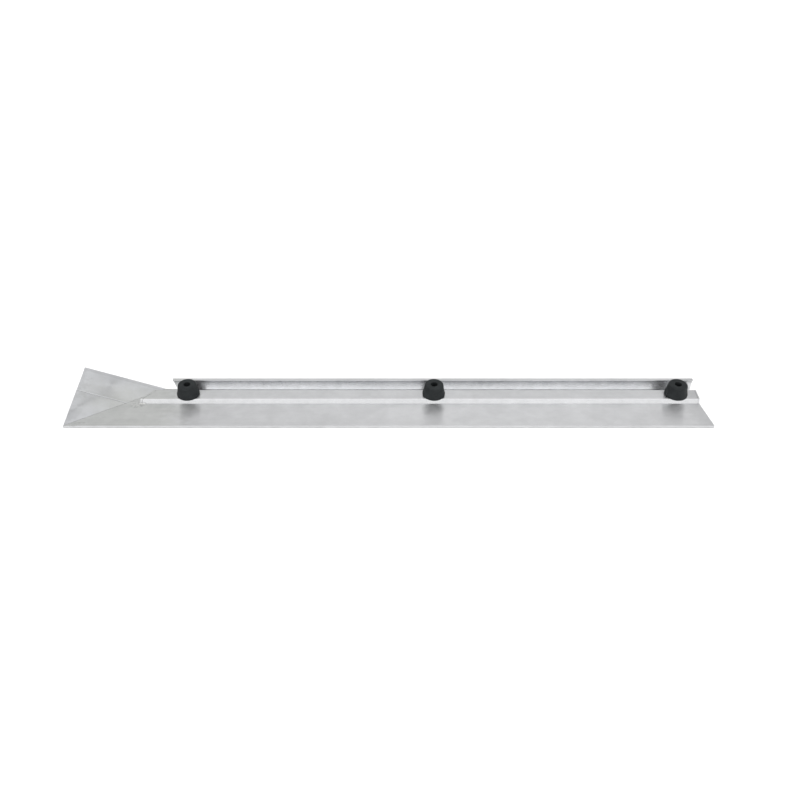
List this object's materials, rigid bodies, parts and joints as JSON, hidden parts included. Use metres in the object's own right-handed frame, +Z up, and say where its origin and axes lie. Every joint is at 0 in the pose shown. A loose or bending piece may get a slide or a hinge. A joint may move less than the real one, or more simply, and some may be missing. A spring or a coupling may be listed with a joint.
{
  "type": "bull float",
  "caption": "Long flat metal concrete float blade with a turned-up rear corner, a raised rib that carries conical rubber buffers, and a low rear rail.",
  "frame": {"origin": "on the flat underside, halfway along the blade and halfway across it", "axes": "+X along the blade away from the turned-up corner, +Y from the working edge to the rear rail, +Z up out of the underside"},
  "size_m": [1.2016, 0.1496, 0.0576],
  "materials": {
    "aluminium": "mill finish, faintly cloudy, satin",
    "weld": "ground weld, dull",
    "rubber": "moulded, matt",
    "zinc_steel": "zinc plated",
    "oxide_steel": "black oxide"
  },
  "bodies": {
    "root": {"front_plank": "aluminium", "rear_channel": "aluminium", "wing_front_plate": "aluminium", "wing_rear_plate": "aluminium", "raised_rib": "aluminium", "rib_end_cap_left": "aluminium", "rib_end_cap_right": "aluminium", "mitre_weld": "weld", "blade_seam_weld": "weld", "wing_seam_weld": "weld", "rib_end_weld": "weld", "buffer_left": "rubber", "buffer_washer_left": "zinc_steel", "buffer_screw_left": "oxide_steel", "rivet_nut_left": "zinc_steel", "buffer_middle": "rubber", "buffer_washer_middle": "zinc_steel", "buffer_screw_middle": "oxide_steel", "rivet_nut_middle": "zinc_steel", "buffer_right": "rubber", "buffer_washer_right": "zinc_steel", "buffer_screw_right": "oxide_steel", "rivet_nut_right": "zinc_steel", "front_rivet_1": "zinc_steel", "front_rivet_2": "zinc_steel", "front_rivet_3": "zinc_steel", "front_rivet_4": "zinc_steel", "front_rivet_5": "zinc_steel", "front_rivet_6": "zinc_steel", "front_rivet_7": "zinc_steel", "rear_rivet_1": "zinc_steel", "rear_rivet_2": "zinc_steel", "rear_rivet_3": "zinc_steel", "rear_rivet_4": "zinc_steel", "rear_rivet_5": "zinc_steel", "rear_rivet_6": "zinc_steel", "rear_rivet_7": "zinc_steel"}
  },
  "joints": []
}
